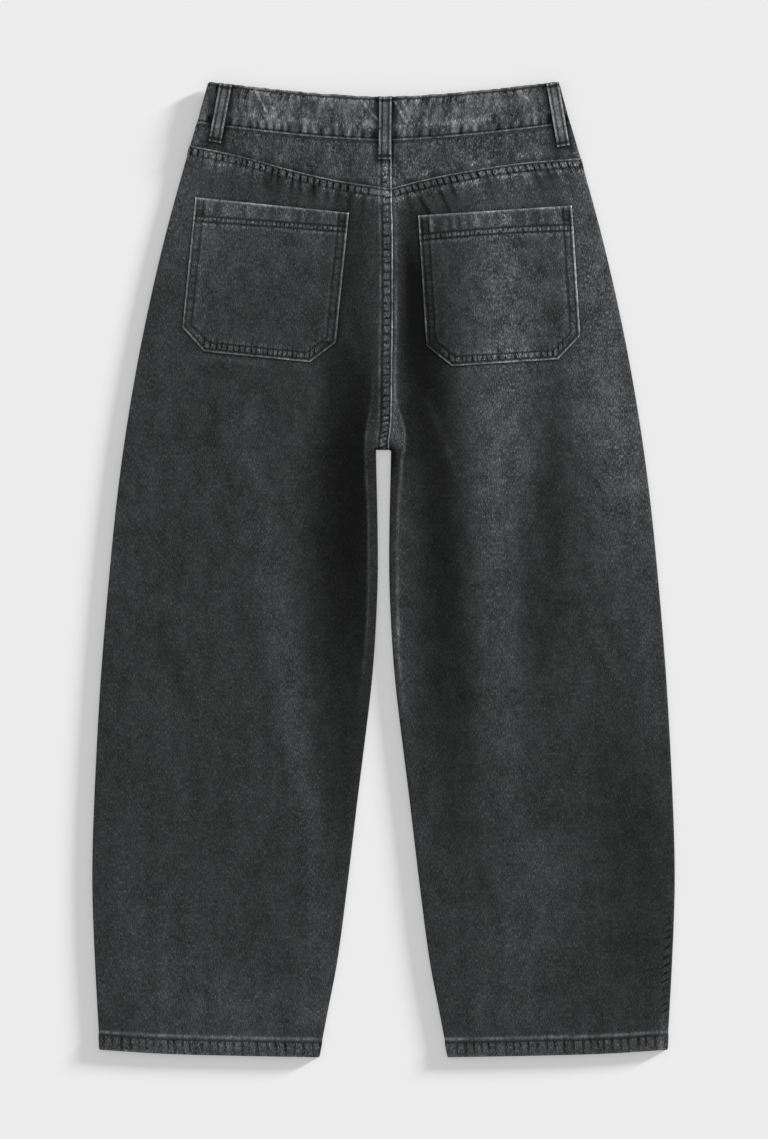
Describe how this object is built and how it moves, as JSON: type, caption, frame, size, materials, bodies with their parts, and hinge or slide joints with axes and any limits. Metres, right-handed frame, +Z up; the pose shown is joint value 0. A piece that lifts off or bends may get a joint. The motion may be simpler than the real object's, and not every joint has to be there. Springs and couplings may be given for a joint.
{
  "type": "jeans",
  "caption": "Barrel-leg jeans laid out flat with the back upwards, with yoke, patch back pockets, belt loops and a waistband closed by a shank button.",
  "frame": {"origin": "on the surface that the jeans lie on, under the middle of their outline", "axes": "+Y from the hems to the waist, +X to the right as seen from above, +Z up, out of the back of the garment"},
  "size_m": [0.5824, 0.9746, 0.0123],
  "materials": {
    "denim": "matt, stone washed",
    "button_metal": "aged"
  },
  "bodies": {
    "root": {"back_leg_left": "denim", "back_leg_right": "denim", "front_leg_left": "denim", "front_leg_right": "denim", "yoke_left": "denim", "yoke_right": "denim", "waistband": "denim", "pocket_left": "denim", "pocket_right": "denim", "belt_loop_back_left": "denim", "belt_loop_back_centre": "denim", "belt_loop_back_right": "denim", "belt_loop_front_left": "denim", "belt_loop_front_right": "denim", "waist_button": "button_metal"}
  },
  "joints": []
}
